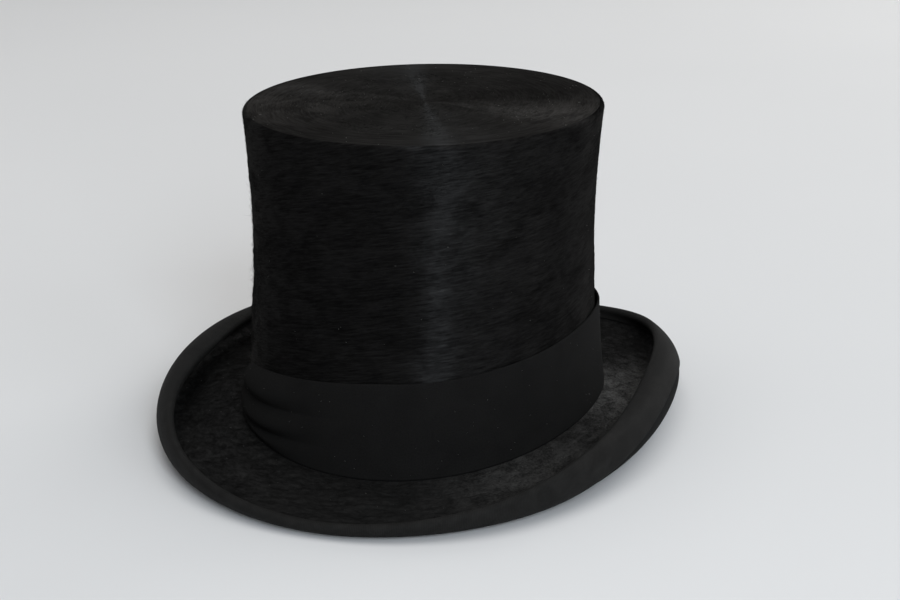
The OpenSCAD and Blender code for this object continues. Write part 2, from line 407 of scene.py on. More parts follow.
def plush(name, dark, light, pale, gloss, along=90.0, across=900.0, patch=45.0, rough=0.5, lean=0.0,
          relief=0.00012, anisotropic=0.75):
    """Brushed silk pile, dark to light, and pale where the piece's mark of tangled nap and painted sheen is 1.

    along, across and patch are waves per metre: the first two stretch the noise to strokes of nap.
    The hairs' shine, dull to bright in gloss, is the same at every angle. lean turns it, in degrees."""
    look = Look(name)
    strokes = look.noise(look.lay((along, along, across)), detail=5.0, rough=0.6, warp=0.4)
    fine = look.noise(look.lay((along * 3, along * 3, across * 2.4)), detail=3.0, rough=0.6, warp=0.2)
    patches = look.noise(look.lay((patch, patch, patch * 1.6)), detail=3.0, rough=0.5, warp=1.0)
    both = look.maths("ADD", look.times(strokes, 0.65), look.times(fine, 0.35))
    shade = look.blend("OVERLAY", 0.7, look.ramp(both, (0.3, 0.15), (0.7, 0.85)),
                       look.ramp(patches, (0.3, 0.32), (0.7, 0.68)))
    uneven = look.ramp(look.blend("MIX", 0.5, fine, patches), (0.4, 0.12), (0.6, 1.0))
    # Painted sheen: the pale colour stands in for light caught by the pile where the lamps fall and at the
    # crown's grazing edge, mixed with paler tangled nap.
    ruffle_and_sheen = look.times(look.add("ShaderNodeAttribute", attribute_name="ruffle_and_sheen").outputs["Fac"], uneven)
    pile = look.principled(specular=0.0, roughness=0.8)
    colour = look.ramp(shade, (0.1, dark), (0.9, light))
    look.link(look.blend("MIX", ruffle_and_sheen, colour, pale), pile.inputs["Base Color"])
    hairs = look.add("ShaderNodeBsdfAnisotropic", Anisotropy=anisotropic, Rotation=lean / 360.0)
    look.link(look.ramp(shade, (0.25, gloss[0]), (0.8, gloss[1])), hairs.inputs["Color"])
    look.link(look.ramp(shade, (0.0, rough + 0.12), (1.0, rough - 0.12)), hairs.inputs["Roughness"])
    tangent = look.add("ShaderNodeTangent", direction_type="RADIAL", axis="Z")
    look.link(tangent.outputs["Tangent"], hairs.inputs["Tangent"])
    normal = look.bump(both, relief, under=look.bump(patches, relief * 3.0, 0.8))
    total = look.add("ShaderNodeAddShader")
    for socket, bsdf in zip(total.inputs, (pile, hairs)):
        look.link(normal, bsdf.inputs["Normal"])
        look.link(bsdf.outputs["BSDF"], socket)
    look.link(total.outputs["Shader"], look.nodes["Material Output"].inputs["Surface"])
    return look.material


WARM_SHEEN = (1.0, 0.98, 0.95, 1)


def wool_cloth(name, dark, light):
    """Fine matt cloth: a small twill, a little fuzz and darker and paler patches."""
    look = Look(name)
    lay = look.lay_parts()
    pitch = 0.00055
    twill = look.stripes(look.maths("ADD", lay["X"], lay["Y"]), pitch)
    weft = look.stripes(lay["Y"], pitch / 1.3)
    weave = look.times(look.maths("ADD", twill, weft), 0.25)
    fuzz = look.noise(look.lay(), 1600.0, detail=4.0, rough=0.7)
    patches = look.noise(look.lay(), 60.0, detail=4.0, rough=0.6, warp=0.6)
    bsdf = look.principled(roughness=0.92, specular=0.025, sheen=0.008, sheen_roughness=0.6,
                           sheen_tint=WARM_SHEEN)
    shade = look.blend("OVERLAY", 0.6, look.ramp(fuzz, (0.3, 0.2), (0.7, 0.8)),
                       look.ramp(patches, (0.3, 0.3), (0.7, 0.7)))
    look.link(look.ramp(shade, (0.1, dark), (0.9, light)), bsdf.inputs["Base Color"])
    normal = look.bump(fuzz, 0.00008, 0.7, under=look.bump(weave, 0.00006, 0.6))
    look.link(normal, bsdf.inputs["Normal"])
    return look.material


def grosgrain(name, dark, light):
    """Corded ribbon: fine ribs across its width, paler on their tops and darker between them."""
    look = Look(name)
    pitch = 0.00065
    wobble = look.noise(look.lay((30, 120, 30)), detail=2.0, rough=0.5)
    along = look.maths("ADD", look.lay_parts()["X"], look.times(wobble, 0.0012))
    ribs = look.maths("MULTIPLY_ADD", look.stripes(along, pitch), 0.5, 0.5)
    worn = look.noise(look.lay(), 110.0, detail=5.0, rough=0.65, warp=0.8)
    fuzz = look.noise(look.lay(), 1500.0, detail=3.0, rough=0.7)
    bsdf = look.principled(roughness=0.6, specular=0.025, sheen=0.005, sheen_roughness=0.5,
                           sheen_tint=WARM_SHEEN)
    shade = look.blend("MIX", 0.35, look.ramp(worn, (0.3, 0.15), (0.75, 0.9)),
                       look.ramp(ribs, (0.0, 0.0), (1.0, 1.0)))
    shade = look.blend("OVERLAY", 0.4, shade, look.ramp(fuzz, (0.3, 0.2), (0.7, 0.8)))
    look.link(look.ramp(shade, (0.05, dark), (0.95, light)), bsdf.inputs["Base Color"])
    normal = look.bump(fuzz, 0.00005, 0.5, under=look.bump(ribs, 0.00009, 0.8))
    look.link(normal, bsdf.inputs["Normal"])
    return look.material


def leather(name):
    """Thin brown roan, polished where the head rubs and darker in its creases."""
    look = Look(name)
    lay = look.lay()
    cells = look.add("ShaderNodeTexVoronoi", Scale=900.0, feature="DISTANCE_TO_EDGE")
    look.link(lay, cells.inputs["Vector"])
    stain = look.noise(lay, 38.0, detail=6.0, rough=0.6, warp=1.2)
    grain = look.noise(lay, 520.0, detail=4.0, rough=0.6)
    bsdf = look.principled(specular=0.45, coat=0.12, coat_roughness=0.35)
    tones = look.ramp(stain, (0.25, (0.045, 0.018, 0.008)), (0.5, (0.13, 0.056, 0.022)),
                      (0.8, (0.27, 0.135, 0.06)))
    look.link(tones, bsdf.inputs["Base Color"])
    look.link(look.ramp(stain, (0.3, 0.62), (0.7, 0.4)), bsdf.inputs["Roughness"])
    pores = look.ramp(cells.outputs["Distance"], (0.0, 0.0), (0.25, 1.0))
    normal = look.bump(grain, 0.0001, 0.5, under=look.bump(pores, 0.00008, 0.5))
    look.link(normal, bsdf.inputs["Normal"])
    return look.material


def satin(name, dark, light, rough=0.38):
    """Smooth woven satin with long floats, its tone uneven with age."""
    look = Look(name)
    floats = look.stripes(look.lay_parts()["X"], 0.0003)
    stain = look.noise(look.lay(), 25.0, detail=5.0, rough=0.6, warp=0.6)
    slub = look.noise(look.lay((2600, 120, 600)), detail=2.0, rough=0.6)
    bsdf = look.principled(specular=0.5, anisotropic=0.5, sheen=0.25, sheen_roughness=0.4)
    look.link(look.ramp(stain, (0.25, dark), (0.7, light)), bsdf.inputs["Base Color"])
    look.link(look.ramp(slub, (0.2, rough - 0.08), (0.8, rough + 0.14)), bsdf.inputs["Roughness"])
    normal = look.bump(slub, 0.00005, 0.6, under=look.bump(floats, 0.00002, 0.4))
    look.link(normal, bsdf.inputs["Normal"])
    return look.material


def cotton(name, dark, light, gloss):
    """Plain cotton thread or cloth, shiny where it is stiffened with shellac."""
    look = Look(name)
    where = look.object_vector()
    patches = look.noise(where, 70.0, detail=5.0, rough=0.6)
    threads = look.noise(where, 1400.0, detail=2.0, rough=0.5)
    bsdf = look.principled(specular=gloss)
    look.link(look.ramp(patches, (0.3, dark), (0.7, light)), bsdf.inputs["Base Color"])
    look.link(look.ramp(patches, (0.3, 0.75), (0.7, 0.5)), bsdf.inputs["Roughness"])
    look.link(look.bump(threads, 0.0001, 0.6), bsdf.inputs["Normal"])
    return look.material


SIDE_PLUSH = plush("side_plush", dark=(0.0013, 0.00125, 0.0012), light=(0.0056, 0.0054, 0.0052),
                   pale=(0.045, 0.044, 0.042), gloss=(0.004, 0.014), along=120.0, across=1250.0,
                   rough=0.47, lean=8.0, relief=0.0002, anisotropic=0.72)
# The tip's plush is the same silk as the side's, given a lighter and warmer colour: painted warm overhead
# light on the top.
TIP_PLUSH_PAINTED_LIGHT = plush("tip_plush_painted_light", dark=(0.0042, 0.004, 0.0037), light=(0.0155, 0.0147, 0.0138),
                  pale=(0.04, 0.0378, 0.0355), gloss=(0.005, 0.014), along=70.0, across=800.0, rough=0.52)
BRIM_PLUSH = plush("brim_plush", dark=(0.002, 0.002, 0.0019), light=(0.0092, 0.009, 0.0088),
                   pale=(0.09, 0.0885, 0.086), gloss=(0.007, 0.022), along=260.0, across=420.0,
                   patch=75.0, relief=0.0004, anisotropic=0.3)
BAND_CLOTH = wool_cloth("band_cloth", (0.0052, 0.0051, 0.005), (0.0122, 0.0119, 0.0115))
UNDER_CLOTH = wool_cloth("underbrim_cloth", (0.006, 0.006, 0.006), (0.013, 0.013, 0.0128))
RIBBON = grosgrain("grosgrain_ribbon", (0.0076, 0.0074, 0.0071), (0.0215, 0.021, 0.0202))
LEATHER = leather("sweatband_leather")
LINING = satin("lining_satin", (0.42, 0.36, 0.25), (0.66, 0.61, 0.5))
LINT = cotton("pale_lint", (0.12, 0.115, 0.105), (0.4, 0.39, 0.36), 0.1)
BOW_SATIN = satin("bow_satin", (0.008, 0.008, 0.009), (0.02, 0.02, 0.022), rough=0.35)
THREAD = cotton("linen_thread", (0.32, 0.26, 0.17), (0.52, 0.45, 0.33), 0.3)
CALICO = cotton("stiffened_calico", (0.22, 0.15, 0.08), (0.42, 0.32, 0.19), 0.5)
TAPE = cotton("calico_tape", (0.45, 0.39, 0.28), (0.62, 0.56, 0.45), 0.2)


def finish_piece(obj, material, slot, *nodes_replaced):
    obj.data.materials.append(material)
    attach(obj, "root")
    if nodes_replaced:
        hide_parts(*nodes_replaced)
    return obj


def cloth(obj, width, length, area=None, rests_on=(), held="stretched"):
    """A piece of cloth cut to a flat size in millimetres, returned as it is; the size is not used. area, the
    share of it that it fills, is not used.
    """
    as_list(rests_on)
    return obj


def round_by(t, r):
    """Distance round the hat from the back to angle t, at radius r."""
    return (t - BACK) * (math.pi / 180) * r


def flat_coords(x, y):
    """Coordinates in metres, for the materials, from distances along and across a piece in millimetres."""
    return np.stack(np.broadcast_arrays(x, y, 0 * y), axis=-1) * MM


def nap_coords(t, r, v, lean=0.0):
    """Coordinates in metres that run round the hat slowly and along v quickly, rising with the nap's lean."""
    t, r, v = np.broadcast_arrays(t, r, v)
    rise = round_by(t, r) * math.tan(math.radians(lean))
    return np.stack([r * cos(t), r * sin(t), v - rise], axis=-1) * MM


def out_and_back(front, back):
    """Close each angle's outline: along the front of a wall, then back along its other face."""
    return np.concatenate([front, back[:, ::-1]], axis=1)


# -------- crown

SHOULDER = 2.2  # radius of the crown's top edge
OVAL = math.pi / 4  # share of its rectangle that an oval fills
LEAST = 0.1  # clearance that keeps one face off the next


def side_ruffle_and_sheen(t, z):
    """Where the crown is painted pale: down the wearer's right, tangled nap with a painted grazing sheen at
    the edge, and faintly where the side light falls, a painted sheen.
    """
    return 0.8 * near(t, 200, 42) * mix(1.0, 0.6, z / HAT_H) + 0.06 * near(t, -30, 60)


# Where the tip is painted pale: paler towards the wearer's right, and a painted highlight towards the wearer's
# left where the side lights fall.
def tip_ruffle_and_sheen(t, r):
    return (0.55 * near(t, 200, 60) + 0.75 * near(t, -8, 42)) * ease(r / 60)


# Where the brim is painted pale: a painted sheen on the wearer's left, strongest away from the edge, and on
# the front-left, where the side and front lights fall.
def brim_ruffle_and_sheen(t, d):
    return 0.85 * near(t, 5, 42) * ease(d / 12) + 0.3 * near(t, -50, 30)


def side_relief(t, z, rise):
    """Height of the nap on the crown: strokes that steepen towards the upper left, patches and curls."""
    count, rows = z.shape
    mean_r = 88
    steps = (HAT_H - SHOULDER - FOOT_Z) / rows, 2 * math.pi * mean_r / count

    def strokes(long, short, lean, seed):
        return field(rows, count, *steps, long, short, lean, seed).T

    steep = ease((z - 60) / 90) * near(t, -35, 80)
    lying = mix(strokes(11.0, 1.3, 8.0, 3), strokes(12.0, 1.4, 26.0, 4), steep)
    patches = strokes(24.0, 16.0, 25.0, 5)
    curls = strokes(3.6, 2.4, -20.0, 6)
    ruffle_and_sheen = ease((150 - z) / 60) * near(t, 206, 26)
    relief = 0.19 * lying * (1 - ruffle_and_sheen) + 0.5 * patches + 0.5 * curls * ruffle_and_sheen
    return relief * ease((1 - rise) * 30)


def side_cover():
    """Plush round the crown, turning in over the shoulder at the top."""
    t = turn(440)[:, None]
    rise = np.linspace(0, 1, 300)[None, :]
    bottom, top, top_in = foot(t) + 0.05, HAT_H - SHOULDER, HAT_H - PLUSH_T - LEAST
    z = mix(bottom, top, rise)
    r = crown_r(t, z) + side_relief(t, z, rise)
    a = np.linspace(0, 80, 8)[None, 1:]
    z_round = top + SHOULDER * sin(a) + 0 * t
    r_round = crown_r(t, top) - SHOULDER * (1 - cos(a))
    z_in = mix(top_in, bottom, np.linspace(0, 1, 8)[None, :])
    r_in = crown_r(t, z_in) - PLUSH_T - 0.02
    r_all = np.concatenate([r, r_round, crown_r(t, HAT_H) - SHOULDER, r_in], axis=1)
    z_all = np.concatenate([z, z_round, top_in + 0 * t, z_in], axis=1)
    coords = nap_coords(t, crown_r(t, WAIST_Z), z_all, lean=10.0)
    obj = ring_object("plush_side", place(t, r_all, z_all), coords)
    finish_piece(obj, SIDE_PLUSH, "silk_plush", "plush_side_cover")
    mark(obj, "ruffle_and_sheen", side_ruffle_and_sheen(t, z_all))
    return cloth(obj, girth(WAIST_Z), HAT_H - FOOT_Z, rests_on=["crown_side_shell"])


def disc(grid, z_first, z_last):
    """Points and faces of a closed disc.

    Each row of grid runs out from the middle of one face and back to the middle of the other, and a point
    at each height closes them."""
    count, columns = grid.shape[:2]
    points = np.concatenate([grid.reshape(-1, 3), [[0, 0, z_first], [0, 0, z_last]]])
    first, last = count * columns, count * columns + 1
    i = np.arange(count)
    j = (i + 1) % count
    fan_first = np.stack([i * columns, np.full(count, first), j * columns], axis=-1)
    fan_last = np.stack([i * columns + columns - 1, j * columns + columns - 1, np.full(count, last)], axis=-1)
    return points, [grid_faces(count, columns, True, False), fan_first, fan_last]


def tip_cover():
    """Plush on the tip, its nap brushed in a swirl, slightly hollow in the middle."""
    count, rings = 600, 70
    t = turn(count)[:, None]
    k = np.linspace(1, 0, rings + 1)[None, :-1]
    rim = crown_r(t, HAT_H) - SHOULDER + 0.6
    rounded, hollow = 0.35 * (1 - ease((1 - k) * 14)), 0.5 * ease((1 - k) * 2.2)
    face = place(t, rim * k, HAT_H - rounded - hollow + 0 * t)
    face[..., 2] += 0.16 * ripple(face, 30.0, 8) * ease((1 - k) * 10) + 0.05 * ripple(face, 7.0, 9)
    face[..., 2] = np.maximum(face[..., 2], HAT_H - PLUSH_T + 0.12)
    z_under = HAT_H - PLUSH_T - 0.55
    under = place(t, rim * k[:, ::10], z_under)
    points, faces = disc(np.concatenate([under[:, ::-1], face], axis=1), z_under, HAT_H - 0.5)
    r_all = np.linalg.norm(points[:, :2], axis=1)
    t_all = np.degrees(np.arctan2(points[:, 1], points[:, 0]))
    swirl = r_all + 6.0 * cos(2 * t_all)
    coords = np.stack([60 * cos(t_all), 60 * sin(t_all), swirl], axis=-1) * MM
    obj = make_object("plush_tip", points, faces, coords)
    finish_piece(obj, TIP_PLUSH_PAINTED_LIGHT, "silk_plush", "plush_tip_cover")
    mark(obj, "ruffle_and_sheen", tip_ruffle_and_sheen(t_all, r_all))
    return cloth(obj, TIP_W, TIP_L, area=OVAL, rests_on=["crown_tip_shell"])


# -------- brim

def brim_sheet(name, bottom, top, start, end, count, steps, material, slot, node, relief=None):
    """A cloth layer of the brim, from start inside the crown's foot to end short of the edge."""
    t = turn(count)[:, None]
    whole = sum(brim_run(t)) + start
    d = whole + (end - whole) * np.linspace(0, 1, steps)[None, :]
    mid = brim_mid(t, d)
    height = relief(place(t, *raised(mid, top)), t, d) if relief else 0.0
    points = out_and_back(place(t, *raised(mid, top + height)), place(t, *raised(mid, bottom)))
    d_all = out_and_back(d, d)
    mean_r = 120.0
    obj = ring_object(name, points, nap_coords(t, mean_r, d_all))
    finish_piece(obj, material, slot, node)
    mark(obj, "ruffle_and_sheen", brim_ruffle_and_sheen(t, d_all))
    return cloth(obj, *brim_blank(), rests_on=["brim_shell"])


def brim_tufts(points, t, d):
    """Height of the tufts on the brim, none at the crown and at the edge."""
    tufts = ripple(points * [1, 1, 0.6], 5.5, 21) * 0.16 + ripple(points, 17.0, 22) * 0.22
    return tufts * ease((d - 1.5) / 8) * ease((sum(brim_run(t)) - d) / 5)


def brim_cover():
    """Tufted plush on top of the brim."""
    return brim_sheet("plush_brim", PLUSH_TOP - PLUSH_T, PLUSH_TOP, 0.7, 0.4, 720, 90,
                      BRIM_PLUSH, "silk_plush", "plush_brim_cover", brim_tufts)


def under_cover():
    """Cloth under the brim."""
    return brim_sheet("underbrim_cloth", -UNDER_LOW, -UNDER_LOW + UNDER_T, SHELL_BACK - 0.2, 0.4, 480, 50,
                      UNDER_CLOTH, "underbrim_cloth", "underbrim_cover")


def ribbon_outline(t, h, steps=12):
    """The ribbon's line at height h off the middle surface, from under the brim round to its top."""
    k = [i / steps for i in range(steps + 1)]
    under = [raised(brim_mid(t, RIBBON_UNDER * (1 - share) + 0 * t), -h) for share in k]
    r, z, slope = brim_mid(t, 0 * t)
    angles = [slope - 90 + 180 * i / steps for i in range(1, steps)]
    cap = [(r + h * cos(a), z + h * sin(a)) for a in angles]
    over = [raised(brim_mid(t, RIBBON_TOP * i / steps + 0 * t), h) for i in range(steps + 1)]
    r_all, z_all = zip(*under, *cap, *over)
    return place(t, np.concatenate(r_all, axis=1), np.concatenate(z_all, axis=1))


def binding():
    """Ribbon folded over the brim's edge."""
    t = turn(900)[:, None]
    outer, inner = ribbon_outline(t, RIBBON_OUT), ribbon_outline(t, RIBBON_IN)
    across = np.concatenate([[0], np.cumsum(np.linalg.norm(np.diff(outer[0], axis=0), axis=1))])
    across = np.concatenate([across, across[::-1]])[None, :]
    mean_r = 140.0
    obj = ring_object("binding_ribbon", out_and_back(outer, inner), flat_coords(round_by(t, mean_r), across))
    finish_piece(obj, RIBBON, "grosgrain_ribbon", "brim_binding")
    under_edge = np.linalg.norm(np.diff(outer[:, 0], axis=0), axis=1).sum()
    return cloth(obj, under_edge, RIBBON_UNDER + RIBBON_TOP + math.pi * RIBBON_OUT, rests_on=["brim_shell"])


def binding_lap():
    """Folded end of the ribbon over its start, at the back."""
    t = np.linspace(BACK - 2, BACK + 2, 16)[:, None]
    d = np.linspace(RIBBON_TOP, -0.2, 14)[None, :] + 0 * t
    mid = brim_mid(t, np.maximum(d, 0.0))
    low_face = RIBBON_OUT + (0.05 + 0.12 * (1 - ease(np.abs(t - BACK - 2) / 1.2)))
    points = out_and_back(place(t, *raised(mid, low_face + RIBBON_T)), place(t, *raised(mid, low_face)))
    mm_per_degree = 2.4
    obj = ring_object("binding_lap", points, flat_coords(t * mm_per_degree, out_and_back(d, d)), closed=False)
    return finish_piece(obj, RIBBON, "grosgrain_ribbon", "binding_join")


# -------- cloth band

def slump(t):
    """How far the band has slipped down: 1 at the wearer's right, 0 at the front, the left and the back."""
    t = t % 360.0
    return np.minimum(np.clip((275.0 - t) / 75.0, 0, 1) ** 1.5, ease((t - 95.0) / 80.0))


def arch(s, start, end, power=1.0):
    """Outline of a fold: 0 at its start and its end, 1 between them."""
    return np.sin(math.pi * np.clip((s - start) / (end - start), 0, 1) ** power)


def band_shape(t, s, lift=0.0):
    """Radius and height of the band's outer face, s from its lower edge to its top.

    On the wearer's right the cloth has slipped down into soft folds, and on the left it stands off."""
    drop = slump(t)
    height = BAND_H - 26.0 * drop - 9.0 * near(t, 192, 32)
    z = foot(t) + 0.2 + (height - 0.2) * s
    fade = ease(drop / 0.34)
    deep = near(t, 233, 42)
    k = np.clip(1.0 - drop / 0.55, 0, 1)
    upper_crease, lower_crease = 0.50 + 0.13 * k, 0.10 + 0.22 * k
    lowest = 0.5 * arch(s, 0, lower_crease)
    middle = arch(s, lower_crease, upper_crease, 1.15)
    upper = arch(s, upper_crease, 1)
    ridge = np.maximum(np.maximum(lowest, middle), upper)
    z = z - fade * (0.4 + 1.6 * deep) * np.maximum(middle, upper * 0.8) * ease((1 - s) * 6)
    folds = fade * (0.1 + (0.4 + 2.9 * deep) * ridge)
    stand_off = near(t, 12.0, 46.0) * (0.15 + 0.9 * s)
    uneven = 0.22 * ripple(place(t, 90.0, z * 0.6), 50.0, 31) * ease(s * 3)
    return crown_r(t, z) + BAND_OUT + BAND_T + lift + (folds + stand_off + uneven), z


def band_piece(name, t, closed, lift, node):
    """A length of the band, its top edge rounded."""
    s = np.linspace(0, 1, 60)[None, :]
    r, z = band_shape(t, s, lift)
    edge_r = r[:, -1:] - BAND_T * np.array([[0.15, 0.5, 0.85]])
    edge_z = z[:, -1:] + BAND_T * np.array([[0.28, 0.38, 0.28]])
    r_all = np.concatenate([r, edge_r, r[:, ::-1] - BAND_T], axis=1)
    z_all = np.concatenate([z, edge_z, z[:, ::-1]], axis=1)
    up = np.concatenate([s, [[1, 1, 1]], s[:, ::-1]], axis=1) * BAND_H
    mean_r = 92.0
    obj = ring_object(name, place(t, r_all, z_all), flat_coords(round_by(t, mean_r), up), closed)
    return finish_piece(obj, BAND_CLOTH, "band_cloth", node)


def cloth_band():
    obj = band_piece("cloth_band", turn(600)[:, None], True, 0.0, "hat_band")
    around = girth(FOOT_SIDE) + 2 * math.pi * (BAND_OUT + BAND_T)
    return cloth(obj, around, BAND_H, rests_on=["plush_side"])


def band_lap():
    """The band's end, lapped over its start."""
    t = np.linspace(56.0, 63.5, 24)[:, None]
    return band_piece("cloth_band_lap", t, False, BAND_T + 0.15, "band_join")


# -------- inside

def inner_wall(name, t, depth, thick, z0, z1, steps, wave, material, slot, node, closed=True):
    """A wall inside the crown, from height z0 to z1, with wave(t, k) moving its face inwards."""
    k = np.linspace(0, 1, steps)[None, :]
    z = mix(z0, z1, k)
    face = crown_r(t, z) - depth - thick - wave(t, k)
    points = out_and_back(place(t, face, z), place(t, crown_r(t, z) - depth, z))
    mean_r = 88.0
    coords = flat_coords(round_by(t, mean_r), out_and_back(z, z))
    obj = ring_object(name, points[:, ::-1], coords[:, ::-1], closed)
    return finish_piece(obj, material, slot, node)


def sweatband():
    """Leather band with its two ends meeting at the back."""
    half_gap = 0.35
    t = np.linspace(BACK + half_gap, BACK + 360 - half_gap, 480)[:, None]

    def wave(t, k):
        return 0.25 * ripple(place(t, 90.0, k * 30), 40.0, 41) * ease(k * 2)

    return inner_wall("sweatband_leather", t, SWEAT_IN, SWEAT_T, foot(t) + 0.5, foot(t) + SWEAT_H, 30, wave,
                      LEATHER, "sweatband_leather", "sweatband", closed=False)


def lining():
    """Satin round the inside of the crown, with soft upright puckers."""
    t = turn(480)[:, None]
    below_tip, behind_leather = 4.5, 18

    def wave(t, k):
        pucker = np.cos(np.radians(t) * 46 + 2.5 * np.sin(np.radians(t) * 7)) * 0.35
        return (pucker + 0.35) * (0.25 + 0.75 * k ** 2) + 0.2 * ripple(place(t, 80.0, k * 80), 50.0, 51) + 0.2

    obj = inner_wall("lining_side_satin", t, LINING_IN, LINING_T, foot(t) + SWEAT_H - behind_leather,
                     0 * t + HAT_H - below_tip, 60, wave, LINING, "lining_cloth", "lining_side")
    height = HAT_H - below_tip - (FOOT_Z + SWEAT_H - behind_leather)
    return cloth(obj, girth(WAIST_Z) - 2 * math.pi * LINING_IN, height, rests_on=["crown_side_shell"])


def tip_lining():
    """Oval of satin under the tip, gathered a little towards its rim."""
    count, rings = 480, 40
    t = turn(count)[:, None]
    k = np.linspace(1, 0, rings + 1)[None, :-1]
    z_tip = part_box("lining_tip")[0].z / MM
    z_face, z_back = z_tip - LEAST, z_tip + LINING_T - LEAST
    rim = crown_r(t, z_tip) - LINING_IN - LEAST
    pucker = 0.22 * (1 + cos(t * 72)) * ease((k - 0.72) / 0.28)
    face, back = place(t, rim * k, z_face - pucker), place(t, rim * k, z_back)
    points, faces = disc(np.concatenate([face[:, ::-1], back], axis=1), z_face, z_back)
    obj = make_object("lining_tip_satin", points, faces, points * MM)
    finish_piece(obj, LINING, "lining_cloth", "lining_tip")
    inset = 2 * (LINING_IN + LEAST)
    return cloth(obj, TIP_W - inset, TIP_L - inset, area=OVAL, rests_on=["crown_tip_shell"])


def reed():
    """Leather-covered reed in the sweatband's lower edge."""
    t = turn(480)[:, None]
    a = np.arange(12)[None, :] * 30.0
    z = foot(t) - REED_R + 0.4
    r = crown_r(t, z) - SWEAT_IN - SWEAT_T / 2
    points = place(t, r + REED_R * cos(a), z + REED_R * sin(a))
    mean_r = 90.0
    coords = flat_coords(round_by(t, mean_r), a * 0.02)
    return finish_piece(ring_object("sweatband_reed_cord", points, coords), LEATHER, "sweatband_leather",
                        "sweatband_reed")


def tube(path, radius, sides=6):
    """Grid of points of a tube with tapered ends along path, (n, 3)."""
    way = np.gradient(path, axis=0)
    way /= np.linalg.norm(way, axis=1, keepdims=True)
    side = np.cross(way, [0.0, 0.0, 1.0])
    side /= np.maximum(np.linalg.norm(side, axis=1, keepdims=True), 1e-9)
    up = np.cross(side, way)
    size = radius * np.sqrt(np.clip(1 - np.linspace(-1, 1, len(path)) ** 4, 0.05, 1))
    a = np.arange(sides)[None, :, None] * 360.0 / sides
    return path[:, None] + size[:, None, None] * (cos(a) * side[:, None] + sin(a) * up[:, None])


def bars(grids):
    """Points and faces of separate bars, each a grid of (outlines, points of an outline, 3)."""
    faces, total = [], 0
    for grid in grids:
        rows, columns = grid.shape[:2]
        faces += bar_faces(rows, columns, total)
        total += rows * columns
    return np.concatenate([grid.reshape(-1, 3) for grid in grids]), faces


def stitches():
    """Saddle stitches through the leather, just above the reed."""
    rng = np.random.default_rng(61)
    count, half_length, height, radius = 120, 0.85, 4.0, 0.26
    k = np.linspace(-1, 1, 6)
    grids = []
    for i in range(count):
        t = BACK + 360.0 * (i + 0.5) / count + half_length * k
        z = foot(t) + height + 0.2 * k + rng.uniform(-0.1, 0.1)
        bulge = 0.3 * np.sqrt(np.clip(1 - k ** 2, 0, 1))
        r = crown_r(t, z) - SWEAT_IN - SWEAT_T - 0.05 - bulge
        grids.append(tube(place(t, r, z), radius))
    points, faces = bars(grids)
    obj = make_object("sweatband_stitching", points, faces, points * MM)
    return finish_piece(obj, THREAD, "sewing_thread", "sweatband_stitches")


def ribbon_strip(path, width, thick):
    """Grid of points of a flat ribbon along path, with width as its way across, both (n, 3)."""
    way = np.gradient(path, axis=0)
    way /= np.linalg.norm(way, axis=1, keepdims=True)
    flat = np.cross(way, width)
    flat /= np.linalg.norm(flat, axis=1, keepdims=True)
    face = path[:, None] + width[:, None] * np.linspace(-0.5, 0.5, 7)[None, :, None]
    lift = flat[:, None] * thick / 2
    return out_and_back(face + lift, face - lift)


def strip_coords(grid):
    """Coordinates of a ribbon strip that is taken as 30 mm long and 4 mm wide."""
    rows, columns = grid.shape[:2]
    across = np.linspace(-2, 2, columns // 2)
    across = np.concatenate([across, across[::-1]])[None, :]
    return flat_coords(across, np.linspace(0, 30, rows)[:, None]).reshape(-1, 3)


def columns_of(x, y, z):
    """Vectors, (n, 3), from three coordinates of which some may be single numbers."""
    return np.stack(np.broadcast_arrays(x, y, z), axis=1).astype(float)


def bow():
    """Small satin bow where the ends of the sweatband meet."""
    low_corner, high_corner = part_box("sweatband_bow")
    half = (high_corner.x - low_corner.x) / 2 / MM
    z0 = foot(BACK) + 10.0
    y0 = crown_r(BACK, z0) - SWEAT_IN - SWEAT_T - 1.6
    k = np.linspace(0, 1, 28)
    swell = np.sin(math.pi * k)
    strips = []
    for side in (-1, 1):
        out = half * swell ** 0.8
        sag = (out / half) ** 2 * 2.1
        loop = columns_of(side * out, y0 - 1.5 * np.cos(math.pi * k) - 1.0 - sag, z0 - 1.6 * swell ** 2)
        strips.append(ribbon_strip(loop, columns_of(0, 0, 3.4 + 4.6 * swell), 0.35))
        tail = columns_of(side * (1 + 8.5 * k), y0 - 0.6 - 0.5 * np.sin(2 * math.pi * k), z0 - 9.5 * k ** 1.2)
        strips.append(ribbon_strip(tail, columns_of(4.0, 0 * k, side * 2.6), 0.35))
    a = np.linspace(0, 2 * math.pi, 20)
    knot = columns_of(0, y0 - 1.2 - 2.0 * np.cos(a), z0 + 2.5 * np.sin(a))
    strips.append(ribbon_strip(knot, columns_of(3.6, 0 * a, 0), 0.4))
    points, faces = bars(strips)
    coords = np.concatenate([strip_coords(strip) for strip in strips])
    obj = make_object("sweatband_ribbon_bow", points, faces, coords)
    return finish_piece(obj, BOW_SATIN, "bow_ribbon", "sweatband_bow")


# -------- loose nap

HAIR = 0.045  # half the width of a hair of plush


